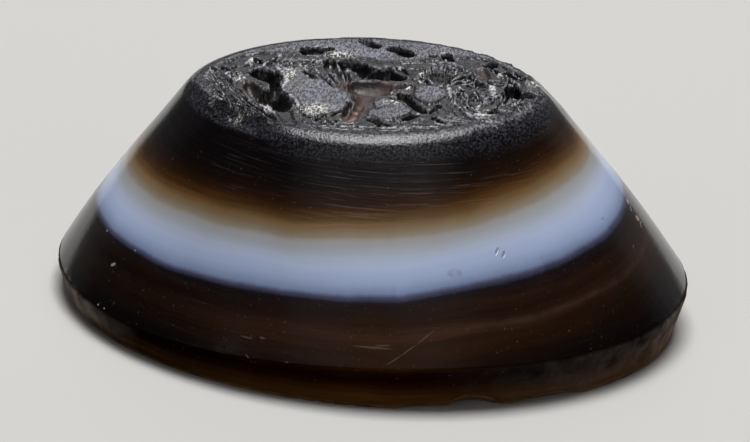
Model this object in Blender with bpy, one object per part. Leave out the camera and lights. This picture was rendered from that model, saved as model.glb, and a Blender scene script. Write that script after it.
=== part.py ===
"""Engraved ringstone of banded agate: an oval cut cone with a device sunk into its small upper face.

Metres, +Z up. The origin is on the flat base, under the middle of the girdle. The device is read from -Y.
"""

import math

import bmesh
import bpy
from mathutils import Matrix, Vector

MM = 0.001

# Driving dimensions of the stone
GIRDLE_LENGTH = 21.14 * MM
GIRDLE_WIDTH = 17.5 * MM
GIRDLE_HEIGHT = 1.28 * MM
GIRDLE_TILT = math.radians(1.5)
GIRDLE_LEAN = math.radians(1.7)
GIRDLE_FULLNESS = 1.97
GIRDLE_RISE = 0.4 * MM
GIRDLE_RISES_MOST_AT = math.radians(-82.0)
BASE_INSET = 0.37 * MM
FACE_LENGTH = 11.7 * MM
FACE_WIDTH = 8.3 * MM
FACE_HEIGHT = 7.56 * MM
FACE_CENTRE = (-0.67 * MM, 0.72 * MM)
FACE_TILT = math.radians(3.0)
FACE_LEAN = math.radians(2.15)
FACE_FULLNESS = 1.92
SIDE_BULGE = 0.16 * MM

# Wear that rounds the shoulder between the side and the upper face, most at the front left
SHOULDER_WEAR = 0.4 * MM
SHOULDER_EXTRA_WEAR = 0.55 * MM
SHOULDER_WORN_MOST_AT = math.radians(232.0)

# How far the middle of the device lies in front of the middle of the face
DEVICE_DROP = 0.28 * MM

# How finely the curved surfaces are divided
SEGMENTS = 96
SIDE_STEPS = 5
SHOULDER_STEPS = 4

# How far a cutter's middle stands above the face, as a share of its depth, and how blunt its ends are
CUTTER_LIFT = 0.22
CUTTER_BLUNTNESS = 2.8

# Stone finish
AGATE_COLOUR = (0.045, 0.028, 0.02, 1.0)
AGATE_ROUGHNESS = 0.2


def clear_scene():
    for old in list(bpy.data.objects):
        bpy.data.objects.remove(old, do_unlink=True)


def new_collection(name, parent=None):
    collection = bpy.data.collections.new(name)
    (parent or bpy.context.scene.collection).children.link(collection)
    return collection


def agate_material():
    material = bpy.data.materials.new("banded_agate")
    material.use_nodes = True
    shader = material.node_tree.nodes["Principled BSDF"]
    shader.inputs["Base Color"].default_value = AGATE_COLOUR
    shader.inputs["Roughness"].default_value = AGATE_ROUGHNESS
    shader.inputs["Metallic"].default_value = 0.0
    return material


def segment_angles():
    return [2.0 * math.pi * step / SEGMENTS for step in range(SEGMENTS)]


def oval(length, width, centre, tilt=0.0, lean=0.0, fullness=2.0):
    """Points round an oval on a plane that rises by tilt towards +X and by lean towards +Y.

    A fullness of 2 gives an ellipse, and more gives fuller quarters.
    """
    points = []
    for angle in segment_angles():
        x, y = (math.copysign(abs(part) ** (2.0 / fullness), part) for part in (math.cos(angle), math.sin(angle)))
        x *= length / 2.0
        y *= width / 2.0
        z = math.tan(tilt) * x + math.tan(lean) * y
        points.append(Vector(centre) + Vector((x, y, z)))
    return points


def blend(first, second, share):
    return [a.lerp(b, share) for a, b in zip(first, second)]


def swell(points, amount):
    """Moves an oval's points outwards, level, by a fixed amount."""
    middle = sum(points, Vector()) / len(points)
    moved = []
    for point in points:
        outward = (point - middle) * Vector((1.0, 1.0, 0.0))
        moved.append(point + outward.normalized() * amount)
    return moved


def shoulder_wear():
    """How far the wear reaches from the corner, down the side and in over the face, at each segment."""
    worn = []
    for angle in segment_angles():
        nearness = max(0.0, math.cos(angle - SHOULDER_WORN_MOST_AT))
        worn.append(SHOULDER_WEAR + SHOULDER_EXTRA_WEAR * nearness**3)
    return worn


def worn_shoulder(below, edge, inside):
    """Ovals that round off the corner between the side and the upper face."""
    rings = []
    for step in range(SHOULDER_STEPS + 1):
        share = step / SHOULDER_STEPS
        rings.append(blend(blend(below, edge, share), blend(edge, inside, share), share))
    return rings


def towards(points, goals, distances):
    return [a + (b - a).normalized() * distance for a, b, distance in zip(points, goals, distances)]


def girdle_edge():
    """The sharp girdle, ground a little higher at the front."""
    centre = (0, 0, GIRDLE_HEIGHT)
    edge = oval(GIRDLE_LENGTH, GIRDLE_WIDTH, centre, GIRDLE_TILT, GIRDLE_LEAN, GIRDLE_FULLNESS)
    for point, angle in zip(edge, segment_angles()):
        point.z += GIRDLE_RISE * max(0.0, math.cos(angle - GIRDLE_RISES_MOST_AT)) ** 4
    return edge


def stone_rings():
    """The ovals of the stone, from the base up over the girdle and the side to the upper face."""
    base = oval(GIRDLE_LENGTH - 2.0 * BASE_INSET, GIRDLE_WIDTH - 2.0 * BASE_INSET, (0, 0, 0), 0, 0, GIRDLE_FULLNESS)
    girdle = girdle_edge()
    face_centre = (*FACE_CENTRE, FACE_HEIGHT)
    edge = oval(FACE_LENGTH, FACE_WIDTH, face_centre, FACE_TILT, FACE_LEAN, FACE_FULLNESS)
    worn = shoulder_wear()
    inside = towards(edge, [Vector(face_centre)] * SEGMENTS, worn)
    below = towards(edge, girdle, worn)
    rings = [base, girdle]
    for step in range(1, SIDE_STEPS):
        share = step / SIDE_STEPS
        rings.append(swell(blend(girdle, below, share), SIDE_BULGE * 4.0 * share * (1.0 - share)))
    return rings + worn_shoulder(below, edge, inside)


def add_mesh(name, mesh, collection):
    data = bpy.data.meshes.new(name)
    mesh.to_mesh(data)
    mesh.free()
    made = bpy.data.objects.new(name, data)
    collection.objects.link(made)
    return made


def build_stone(collection):
    """The uncut stone: a loft between its unlike ovals, flat on the base and on the upper face."""
    mesh = bmesh.new()
    rings = [[mesh.verts.new(point) for point in ring] for ring in stone_rings()]
    for lower, upper in zip(rings, rings[1:]):
        for step in range(SEGMENTS):
            after = (step + 1) % SEGMENTS
            mesh.faces.new((lower[step], lower[after], upper[after], upper[step]))
    mesh.faces.new(reversed(rings[0]))
    mesh.faces.new(rings[-1])
    stone = add_mesh("intaglio_gem", mesh, collection)
    stone.data.materials.append(agate_material())
    stone.data.shade_smooth()
    stone.data.set_sharp_from_angle(angle=math.radians(25.0))
    return stone


def device_frame():
    """Places a cutter drawn flat, in the device's own X and Y, on the sloping upper face."""
    place = Matrix.Translation((*FACE_CENTRE, FACE_HEIGHT))
    slope = Matrix.Rotation(-FACE_TILT, 4, "Y") @ Matrix.Rotation(FACE_LEAN, 4, "X")
    return place @ slope @ Matrix.Translation((0.0, -DEVICE_DROP, 0.0))


def as_cutter(cutter):
    cutter.hide_render = True
    cutter.display_type = "WIRE"


def wheel_cut(group, start, end, width, depth, bow=0.0):
    """A boat-shaped cut, as a small engraving wheel leaves it, along a line that may bow to its left.

    All its sizes are in millimetres on the face, where the device's middle is (0, 0).
    """
    start = Vector(start)
    run = Vector(end) - start
    left = Vector((-run.y, run.x)).normalized()
    mesh = bmesh.new()
    sides = 8 if width > 0.3 else 6
    steps = 8 if run.length > 1.2 else 6
    lay_along_x = Matrix.Rotation(math.pi / 2.0, 4, "Y")
    bmesh.ops.create_uvsphere(mesh, u_segments=sides, v_segments=steps, radius=1.0, matrix=lay_along_x)
    for vertex in mesh.verts:
        along, across, down = vertex.co
        round_end = math.sqrt(max(1.0 - along * along, 0.0))
        blunt_end = max(1.0 - abs(along) ** CUTTER_BLUNTNESS, 0.0) ** (1.0 / CUTTER_BLUNTNESS)
        fuller = blunt_end / round_end if round_end > 0.01 else 1.0
        flat = start + run * (along + 1.0) / 2.0
        flat += left * (bow * (1.0 - along * along) + across * fuller * width / 2.0)
        height = depth * (CUTTER_LIFT + down * fuller * (1.0 + CUTTER_LIFT))
        vertex.co = Vector((flat.x, flat.y, height)) * MM
    cutter = add_mesh(group.name + "_wheel", mesh, group)
    cutter.matrix_world = device_frame()
    as_cutter(cutter)


def fan_of_cuts(group, hub, inner, outer, first, last, count, width, depth):
    """Cuts spread like rays round a hub, from one angle to another, in degrees."""
    for step in range(count):
        angle = math.radians(first + (last - first) * step / (count - 1))
        ray = Vector((math.cos(angle), math.sin(angle)))
        wheel_cut(group, Vector(hub) + ray * inner, Vector(hub) + ray * outer, width, depth)


def row_of_cuts(group, start, end, shift, count, width, depth, bow=0.0):
    """Like cuts side by side, each moved on from the last by a shift at its start and at its end."""
    for step in range(count):
        near = Vector(start) + Vector(shift[0]) * step
        far = Vector(end) + Vector(shift[1]) * step
        wheel_cut(group, near, far, width, depth, bow)


def arc_of_cuts(group, centre, radius, first, last, count, width, depth):
    """Bowed cuts end to end along an arc, going clockwise, with its angles in degrees."""
    turn = math.radians(last - first) / count
    bow = radius * (1.0 - math.cos(turn / 2.0))
    for step in range(count):
        begin = math.radians(first) + turn * step
        near = Vector((math.cos(begin), math.sin(begin))) * radius
        far = Vector((math.cos(begin + turn), math.sin(begin + turn))) * radius
        wheel_cut(group, Vector(centre) + near, Vector(centre) + far, width, depth, bow)


def left_hollow(group):
    """A deep double hollow with a shallow furrow running down from it."""
    wheel_cut(group, (-3.42, 1.55), (-3.36, 0.38), 1.15, 0.62)
    wheel_cut(group, (-4.0, 0.2), (-3.1, -1.62), 0.8, 0.5)
    wheel_cut(group, (-3.0, -0.05), (-2.45, -1.85), 0.8, 0.78)
    wheel_cut(group, (-2.85, -1.3), (-2.38, -3.1), 0.85, 0.22)


def left_border(group):
    """Long strokes that follow the lower left edge, and small pits above them."""
    row_of_cuts(group, (-4.5, 0.3), (-3.6, -1.95), ((-0.42, -0.06), (-0.5, 0.3)), 3, 0.26, 0.14, -0.1)
    wheel_cut(group, (-3.32, -2.15), (-2.92, -3.0), 0.28, 0.14, 0.08)
    wheel_cut(group, (-5.36, 1.28), (-5.0, 1.14), 0.3, 0.16)
    wheel_cut(group, (-4.84, 1.5), (-4.68, 1.1), 0.3, 0.2)
    wheel_cut(group, (-4.82, 1.95), (-4.58, 1.65), 0.26, 0.12)
    wheel_cut(group, (-3.76, 2.3), (-3.64, 1.72), 0.36, 0.24)
    wheel_cut(group, (-4.6, 0.86), (-4.08, 0.86), 0.22, 0.14)


def figure_upper_body(group):
    """Head, sleeve, folds of the cloak and the deep hollow of the body."""
    wheel_cut(group, (-2.36, 2.82), (-1.55, 3.0), 0.56, 0.3)
    wheel_cut(group, (-1.6, 3.0), (-1.18, 3.12), 0.36, 0.22)
    wheel_cut(group, (-1.32, 2.5), (-1.28, 1.3), 0.5, 0.4)
    row_of_cuts(group, (-3.4, 1.62), (-2.95, 2.3), ((0.36, 0.0), (0.34, 0.02)), 5, 0.24, 0.14)
    wheel_cut(group, (-2.8, 1.55), (-1.6, 1.5), 0.22, 0.13)
    wheel_cut(group, (-2.12, 1.28), (-1.72, 0.58), 0.34, 0.24)
    row_of_cuts(group, (-1.72, 1.3), (-1.08, -0.1), ((0.27, 0.25), (0.17, 0.1)), 4, 0.19, 0.16)
    wheel_cut(group, (-1.0, 2.3), (0.1, 1.45), 0.85, 0.5)
    wheel_cut(group, (-0.4, 1.35), (1.02, 1.25), 1.1, 0.8)
    wheel_cut(group, (0.5, 1.8), (1.2, 0.75), 0.68, 0.55)
    wheel_cut(group, (-0.7, 0.08), (0.9, -0.05), 0.7, 0.42)
    wheel_cut(group, (-0.95, 0.5), (-0.2, -0.55), 0.4, 0.3)
    wheel_cut(group, (1.15, 0.4), (0.15, -0.5), 0.46, 0.34)
    wheel_cut(group, (0.05, -0.1), (-0.18, -1.2), 0.8, 0.42)


def figure_lower_body(group):
    """Arm, thighs, shins and feet of the figure."""
    wheel_cut(group, (0.98, 0.05), (1.5, 0.5), 0.28, 0.24)
    wheel_cut(group, (0.58, -0.5), (0.86, 0.05), 0.24, 0.2)
    wheel_cut(group, (1.12, -0.15), (1.42, -0.95), 0.5, 0.45)
    wheel_cut(group, (0.72, -0.62), (1.3, -0.66), 0.34, 0.3)
    wheel_cut(group, (1.3, -0.65), (2.04, -1.85), 0.46, 0.42)
    wheel_cut(group, (2.5, -1.0), (2.1, -1.85), 0.3, 0.3)
    wheel_cut(group, (1.82, -1.85), (1.2, -2.42), 0.34, 0.28)
    wheel_cut(group, (-0.14, -0.95), (-0.5, -2.6), 0.44, 0.32)
    wheel_cut(group, (-0.38, -1.02), (-0.74, -1.88), 0.24, 0.26)
    wheel_cut(group, (-0.7, -1.82), (-1.72, -2.66), 0.22, 0.2)
    wheel_cut(group, (-0.72, -2.4), (-0.98, -2.78), 0.16, 0.16)
    wheel_cut(group, (0.04, -2.38), (0.92, -2.84), 0.34, 0.28)
    wheel_cut(group, (0.3, -2.55), (0.5, -3.0), 0.3, 0.2)
    wheel_cut(group, (0.96, -2.48), (1.3, -2.8), 0.22, 0.16)
    wheel_cut(group, (2.2, -2.02), (2.62, -2.5), 0.32, 0.26)
    wheel_cut(group, (2.26, -2.72), (2.78, -2.7), 0.18, 0.14)


def ground_line(group):
    """Two long level grooves under the device."""
    row_of_cuts(group, (-2.25, -3.08), (3.4, -3.02), ((0.15, -0.25), (-0.25, -0.25)), 2, 0.16, 0.11)


def upper_border(group):
    """Small pits along the back edge of the face."""
    wheel_cut(group, (-0.28, 3.86), (0.3, 3.3), 0.28, 0.22)
    wheel_cut(group, (0.62, 3.42), (1.5, 2.62), 0.5, 0.34)
    wheel_cut(group, (1.96, 2.84), (2.26, 2.7), 0.28, 0.16)
    wheel_cut(group, (2.5, 3.02), (2.72, 2.42), 0.42, 0.26)
    wheel_cut(group, (3.82, 2.38), (4.28, 2.02), 0.52, 0.32)
    wheel_cut(group, (4.1, 1.92), (4.42, 1.5), 0.3, 0.18)
    wheel_cut(group, (4.5, 1.74), (5.02, 1.1), 0.32, 0.24)
    wheel_cut(group, (5.04, 1.28), (5.36, 1.0), 0.34, 0.22)


def rayed_shield(group):
    """A fan of rays over a shallow panel, inside a bowed rim."""
    fan_of_cuts(group, (2.2, 0.45), 0.35, 1.5, 94.0, 20.0, 5, 0.26, 0.22)
    wheel_cut(group, (0.98, 1.65), (1.82, 1.5), 0.8, 0.14)
    wheel_cut(group, (1.66, 0.65), (1.9, 1.35), 0.24, 0.2)
    wheel_cut(group, (1.0, 2.1), (2.6, 2.15), 0.16, 0.1, 0.1)
    wheel_cut(group, (2.65, 2.12), (3.35, 1.2), 0.16, 0.1, 0.12)
    wheel_cut(group, (2.02, 0.42), (2.32, 0.44), 0.22, 0.14)
    wheel_cut(group, (3.62, 2.0), (3.86, 0.85), 0.42, 0.15)
    row_of_cuts(group, (3.12, 0.98), (3.5, 0.35), ((0.22, 0.02), (0.24, -0.06)), 2, 0.18, 0.12)


def round_shield(group):
    """Two concentric rims with a pit in the middle, and strokes beside them."""
    arc_of_cuts(group, (4.1, -1.3), 1.02, 42.0, -112.0, 3, 0.17, 0.13)
    arc_of_cuts(group, (4.1, -1.3), 0.7, 30.0, -100.0, 2, 0.15, 0.11)
    wheel_cut(group, (3.9, -1.72), (4.56, -1.42), 0.4, 0.32)
    wheel_cut(group, (3.36, -0.85), (3.52, -1.3), 0.26, 0.2)
    wheel_cut(group, (3.66, -0.78), (3.8, -1.12), 0.18, 0.13)
    wheel_cut(group, (3.96, -0.64), (4.14, -0.4), 0.2, 0.13)
    wheel_cut(group, (4.6, -0.9), (4.66, -0.5), 0.18, 0.13)
    row_of_cuts(group, (2.76, -1.25), (3.3, -2.3), ((0.2, -0.2), (0.26, -0.06)), 3, 0.18, 0.13, -0.08)


def right_wedge(group):
    """A deep three-cornered cut by the right end, and the ovals next to it."""
    wheel_cut(group, (4.4, -0.06), (5.3, -0.12), 0.62, 0.5)
    wheel_cut(group, (4.7, 0.62), (4.9, -0.1), 0.46, 0.4)
    wheel_cut(group, (5.0, -0.05), (5.5, -0.28), 0.26, 0.2)
    wheel_cut(group, (3.24, 0.22), (3.02, -0.42), 0.26, 0.2)
    wheel_cut(group, (4.16, 0.92), (4.3, 0.46), 0.42, 0.22)


def chip(group, place, outward, width, depth):
    """A shell-shaped chip, in millimetres: a ball that bites to a depth and leaves a scar of a width."""
    radius = (width * width / 4.0 + depth * depth) / (2.0 * depth)
    mesh = bmesh.new()
    bmesh.ops.create_uvsphere(mesh, u_segments=24, v_segments=16, radius=radius * MM)
    cutter = add_mesh(group.name + "_shell", mesh, group)
    outward = Vector(outward).normalized()
    cutter.matrix_world = Matrix.Translation((Vector(place) + outward * (radius - depth)) * MM)
    as_cutter(cutter)


def base_edge_chip(group, angle, width, depth):
    """A chip out of the edge of the base, at an angle in degrees round from +X."""
    turn = math.radians(angle)
    x = (GIRDLE_LENGTH / 2.0 - BASE_INSET) / MM * math.cos(turn)
    y = (GIRDLE_WIDTH / 2.0 - BASE_INSET) / MM * math.sin(turn)
    chip(group, (x, y, 0.0), (math.cos(turn), math.sin(turn), -0.9), width, depth)


def edge_chips(group):
    """Old chips out of the lower edge and the back of the upper face."""
    base_edge_chip(group, -69.0, 2.4, 0.55)
    base_edge_chip(group, -53.0, 4.4, 0.25)
    base_edge_chip(group, -78.5, 2.0, 0.2)
    chip(group, (1.7, 4.62, 7.85), (0.2, 0.7, 0.7), 1.3, 0.3)


def engrave(stone, cutters, name, draw):
    """Sinks one part of the device, drawn as a group of cutters, into the stone."""
    group = new_collection(name, cutters)
    draw(group)
    cut = stone.modifiers.new(name, "BOOLEAN")
    cut.operation = "DIFFERENCE"
    cut.solver = "EXACT"
    cut.operand_type = "COLLECTION"
    cut.collection = group


clear_scene()
gem = new_collection("intaglio_gem")
cutter_groups = new_collection("cutters")
ringstone = build_stone(gem)
engrave(ringstone, cutter_groups, "edge_chips", edge_chips)
engrave(ringstone, cutter_groups, "left_hollow", left_hollow)
engrave(ringstone, cutter_groups, "left_border", left_border)
engrave(ringstone, cutter_groups, "figure_upper_body", figure_upper_body)
engrave(ringstone, cutter_groups, "figure_lower_body", figure_lower_body)
engrave(ringstone, cutter_groups, "ground_line", ground_line)
engrave(ringstone, cutter_groups, "upper_border", upper_border)
engrave(ringstone, cutter_groups, "rayed_shield", rayed_shield)
engrave(ringstone, cutter_groups, "round_shield", round_shield)
engrave(ringstone, cutter_groups, "right_wedge", right_wedge)
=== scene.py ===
import math

import bpy
import numpy as np
from mathutils import Matrix, Vector, noise


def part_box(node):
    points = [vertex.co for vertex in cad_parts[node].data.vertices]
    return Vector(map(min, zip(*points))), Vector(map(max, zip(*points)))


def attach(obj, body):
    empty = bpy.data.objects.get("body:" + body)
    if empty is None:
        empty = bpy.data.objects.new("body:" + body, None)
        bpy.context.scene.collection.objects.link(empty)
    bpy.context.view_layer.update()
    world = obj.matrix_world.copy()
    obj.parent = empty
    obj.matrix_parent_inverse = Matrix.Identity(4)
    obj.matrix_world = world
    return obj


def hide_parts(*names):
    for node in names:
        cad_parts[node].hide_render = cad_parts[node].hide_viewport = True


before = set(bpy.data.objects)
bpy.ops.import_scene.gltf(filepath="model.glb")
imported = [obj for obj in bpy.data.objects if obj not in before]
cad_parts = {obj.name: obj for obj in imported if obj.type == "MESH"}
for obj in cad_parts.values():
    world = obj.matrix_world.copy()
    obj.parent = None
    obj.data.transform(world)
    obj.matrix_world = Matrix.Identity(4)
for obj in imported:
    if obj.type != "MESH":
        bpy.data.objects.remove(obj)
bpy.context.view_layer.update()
MM = 0.001


# The camera
# It looks down on the front of the stone by some 23 degrees, from far off with a long lens, and is rolled a
# little to the left, as the photograph shows it. Sizes in the picture are stated at its 750 by 442 pixels.
PICTURE_WIDTH = 750
PICTURE_HEIGHT = 442
PIXELS_PER_MM = 30.0
CAMERA_ELEVATION = math.radians(23.296)
CAMERA_ROLL = math.radians(4.519)
CAMERA_DISTANCE = 200.0
CAMERA_AIM = Vector((0.0, 0.0, 4.0))
AIM_PIXEL = (379.0, 191.9)
SENSOR_WIDTH = 36.0

towards_camera = Vector((0.0, -math.cos(CAMERA_ELEVATION), math.sin(CAMERA_ELEVATION)))
level_right = Vector((1.0, 0.0, 0.0))
level_up = towards_camera.cross(level_right)
picture_right = math.cos(CAMERA_ROLL) * level_right + math.sin(CAMERA_ROLL) * level_up
picture_up = math.cos(CAMERA_ROLL) * level_up - math.sin(CAMERA_ROLL) * level_right
aside = (PICTURE_WIDTH / 2.0 - AIM_PIXEL[0]) / PIXELS_PER_MM
above = (AIM_PIXEL[1] - PICTURE_HEIGHT / 2.0) / PIXELS_PER_MM
camera_place = CAMERA_AIM + towards_camera * CAMERA_DISTANCE + picture_right * aside + picture_up * above
lens = bpy.data.cameras.new("photo_camera")
lens.sensor_width = SENSOR_WIDTH
lens.lens = CAMERA_DISTANCE * PIXELS_PER_MM * SENSOR_WIDTH / PICTURE_WIDTH
lens.clip_start = 0.01
camera = bpy.data.objects.new("photo_camera", lens)
camera.matrix_world = Matrix((picture_right, picture_up, towards_camera)).transposed().to_4x4()
camera.matrix_world.translation = camera_place * MM
bpy.context.scene.collection.objects.link(camera)
bpy.context.scene.camera = camera


# The engraved stone
# One piece of banded agate, cut as a low oval cone and polished, with a figure and its shields sunk into the
# small upper face by engraving wheels. Wear has rounded its shoulder, and its edges have old chips.
stone_low, stone_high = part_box("intaglio_gem")
GIRDLE_LENGTH = (stone_high.x - stone_low.x) / MM
GIRDLE_WIDTH = (stone_high.y - stone_low.y) / MM
GIRDLE_HEIGHT = 1.28
GIRDLE_TILT = math.radians(1.5)
GIRDLE_LEAN = math.radians(1.7)
GIRDLE_FULLNESS = 1.97
GIRDLE_RISE = 0.4
GIRDLE_RISES_MOST_AT = math.radians(-82.0)
BASE_INSET = 0.37
FACE_LENGTH = 11.7
FACE_WIDTH = 8.3
FACE_CENTRE = np.array((-0.67, 0.72, 7.56))
FACE_TILT = math.radians(3.0)
FACE_LEAN = math.radians(2.15)
FACE_FULLNESS = 1.92
SIDE_BULGE = 0.16
SHOULDER_WEAR = 0.48
EDGE_WEAR = 0.03

# How finely the stone's surface is divided: squares over the upper face, and then rings to the base, closer
# together towards the girdle
FACE_SQUARES = (310, 180)
SHOULDER_RINGS = 9
SIDE_RINGS = 14
CORNER_RINGS = 2
BEVEL_RINGS = 14
SIDE_CROWDING = 1.6
BASE_RINGS_IN = (0.3, 0.9, 3.0)


def oval(angles, length, width, centre, tilt=0.0, lean=0.0, fullness=2.0):
    """Points of an oval on a plane that rises by tilt towards +X and by lean towards +Y."""
    across, deep = np.cos(angles), np.sin(angles)
    x = np.sign(across) * np.abs(across) ** (2.0 / fullness) * length / 2.0
    y = np.sign(deep) * np.abs(deep) ** (2.0 / fullness) * width / 2.0
    z = math.tan(tilt) * x + math.tan(lean) * y
    return np.stack((x, y, z), axis=1) + np.array(centre)


def towards(points, goals, distance):
    way = goals - points
    way /= np.linalg.norm(way, axis=1, keepdims=True)
    return points + way * np.reshape(distance, (-1, 1))


def face_edge(angles):
    return oval(angles, FACE_LENGTH, FACE_WIDTH, FACE_CENTRE, FACE_TILT, FACE_LEAN, FACE_FULLNESS)


def girdle_edge(angles):
    """The sharp girdle, ground a little higher at the front."""
    middle = (0.0, 0.0, GIRDLE_HEIGHT)
    edge = oval(angles, GIRDLE_LENGTH, GIRDLE_WIDTH, middle, GIRDLE_TILT, GIRDLE_LEAN, GIRDLE_FULLNESS)
    edge[:, 2] += GIRDLE_RISE * np.maximum(0.0, np.cos(angles - GIRDLE_RISES_MOST_AT)) ** 4
    return edge


def flat_face(angles):
    """The oval inside which the upper face is still flat."""
    return towards(face_edge(angles), FACE_CENTRE, SHOULDER_WEAR)


def rounded_corner(before, corner, after, count):
    """Rings that turn smoothly from one surface to the next, without the first."""
    rings = []
    for share in np.linspace(0.0, 1.0, count + 1)[1:]:
        near = before + (corner - before) * share
        far = corner + (after - corner) * share
        rings.append(near + (far - near) * share)
    return rings


def rings_outwards(angles):
    """Rings from the flat of the face over the shoulder, the side and the girdle, and in under the base."""
    base_length, base_width = GIRDLE_LENGTH - 2 * BASE_INSET, GIRDLE_WIDTH - 2 * BASE_INSET
    base = oval(angles, base_length, base_width, (0, 0, 0), fullness=GIRDLE_FULLNESS)
    girdle = girdle_edge(angles)
    edge = face_edge(angles)
    below = towards(edge, girdle, SHOULDER_WEAR)
    rings = rounded_corner(flat_face(angles), edge, below, SHOULDER_RINGS)
    side_end = towards(girdle, below, EDGE_WEAR)
    outward = girdle * (1.0, 1.0, 0.0)
    outward /= np.linalg.norm(outward, axis=1, keepdims=True)
    for step in range(1, SIDE_RINGS + 1):
        share = 1.0 - (1.0 - step / SIDE_RINGS) ** SIDE_CROWDING
        swell = SIDE_BULGE * 4.0 * share * (1.0 - share)
        rings.append(below + (side_end - below) * share + outward * swell)
    rings += rounded_corner(side_end, girdle, towards(girdle, base, EDGE_WEAR), CORNER_RINGS)
    bevel_start, bevel_end = rings[-1], towards(base, girdle, EDGE_WEAR)
    for share in np.linspace(0.0, 1.0, BEVEL_RINGS + 1)[1:]:
        rings.append(bevel_start + (bevel_end - bevel_start) * share)
    middle = np.zeros(3)
    rings += rounded_corner(bevel_end, base, towards(base, middle, EDGE_WEAR), CORNER_RINGS)
    rings += [towards(base, middle, inset) for inset in BASE_RINGS_IN]
    return rings


def lay_out_stone():
    """Vertices, faces and places from the middle of the uncut stone: a grid, rings round it, and a base."""
    columns, rows = FACE_SQUARES
    across, deep = np.meshgrid(np.linspace(-1, 1, columns + 1), np.linspace(-1, 1, rows + 1))
    u = across * np.sqrt(1.0 - deep**2 / 2.0)
    v = deep * np.sqrt(1.0 - across**2 / 2.0)
    reach = np.hypot(u, v).ravel()
    angles = np.arctan2(v, u).ravel()
    grid = FACE_CENTRE + (flat_face(angles) - FACE_CENTRE) * reach[:, None]
    number = np.arange(grid.shape[0]).reshape(rows + 1, columns + 1)
    loop = np.concatenate((number[0, :-1], number[:-1, -1], number[-1, :0:-1], number[:0:-1, 0]))
    squares = np.stack((number[:-1, :-1], number[:-1, 1:], number[1:, 1:], number[1:, :-1]), axis=-1)
    faces = squares.reshape(-1, 4).tolist()
    vertices, progress = [grid], [reach]
    inner, next_number = loop, grid.shape[0]
    for count, ring in enumerate(rings_outwards(angles[loop]), start=1):
        outer = np.arange(next_number, next_number + len(loop))
        faces += np.stack((inner, outer, np.roll(outer, -1), np.roll(inner, -1)), axis=-1).tolist()
        vertices.append(ring)
        if count <= SHOULDER_RINGS:
            progress.append(np.full(len(loop), 1.0 + count / SHOULDER_RINGS))
        else:
            progress.append(np.full(len(loop), 2.0 + (count - SHOULDER_RINGS) / SIDE_RINGS))
        inner, next_number = outer, next_number + len(loop)
    faces.append(inner[::-1].tolist())
    return np.concatenate(vertices), faces, np.concatenate(progress)


# From the middle: 0 to 1 over the flat of the face, to 2 over the shoulder, and to 3 down the side
stone_points, stone_faces, from_middle = lay_out_stone()

# The device's own flat frame on the sloping face, in millimetres, with its middle a little in front
DEVICE_DROP = 0.28
device_frame = np.array(
    Matrix.Translation(FACE_CENTRE.tolist())
    @ Matrix.Rotation(-FACE_TILT, 4, "Y")
    @ Matrix.Rotation(FACE_LEAN, 4, "X")
    @ Matrix.Translation((0.0, -DEVICE_DROP, 0.0))
)
on_device = (stone_points - device_frame[:3, 3]) @ device_frame[:3, :3]

# A cutting hand wavers, and so do the walls that it leaves. Where nothing is cut, the floor is above the face
WAVER = 0.03
WAVERS_PER_MM = 2.2
WALL_ROUGHNESS = 0.007
BUMPS_PER_MM = 9.0
WAVER_SEED = 3
noise.seed_set(WAVER_SEED)
wobble = np.array([noise.noise_vector(Vector(point) * WAVERS_PER_MM)[:2] for point in on_device])
fine_wobble = np.array([noise.noise_vector(Vector(point) * BUMPS_PER_MM)[:2] for point in on_device])
cut_x, cut_y = (on_device[:, :2] + WAVER * wobble + WALL_ROUGHNESS * fine_wobble).T
cut_floor = np.full(len(stone_points), 1.0)

# Between the panels left smooth, the ground is sunk a little and worked over in strokes near this heading
STROKE_HEADING = math.radians(-64.0)
GROUND_DEPTH = 0.075
GROUND_WAVER = 0.03
GROUND_STREAKS = 0.025
GROUND_GRAIN = 0.01
cut_along = cut_x * math.cos(STROKE_HEADING) + cut_y * math.sin(STROKE_HEADING)
cut_across = cut_y * math.cos(STROKE_HEADING) - cut_x * math.sin(STROKE_HEADING)


def capped(values):
    """Values kept between 0 and 1."""
    return np.clip(values, 0.0, 1.0)


def away_from(corners, closed):
    """How far the points lie from an outline, or from an open line, and whether they lie inside it."""
    nearest = np.full(len(cut_x), 9.0)
    inside = np.zeros(len(cut_x), bool)
    following = corners[1:] + corners[:1] if closed else corners[1:]
    for (x0, y0), (x1, y1) in zip(corners, following):
        run_x, run_y = x1 - x0, y1 - y0
        share = capped(((cut_x - x0) * run_x + (cut_y - y0) * run_y) / (run_x**2 + run_y**2))
        nearest = np.minimum(nearest, np.hypot(cut_x - x0 - share * run_x, cut_y - y0 - share * run_y))
        if y0 != y1:
            inside ^= ((cut_y < y0) != (cut_y < y1)) & (cut_x < x0 + (cut_y - y0) * run_x / run_y)
    return nearest, inside


def within(corners, soft_edge):
    """How far inside an outline the points lie: 0 outside it, rising over its soft edge to 1 inside."""
    nearest, inside = away_from(corners, True)
    return capped(np.where(inside, nearest, 0.0) / soft_edge)


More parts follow.
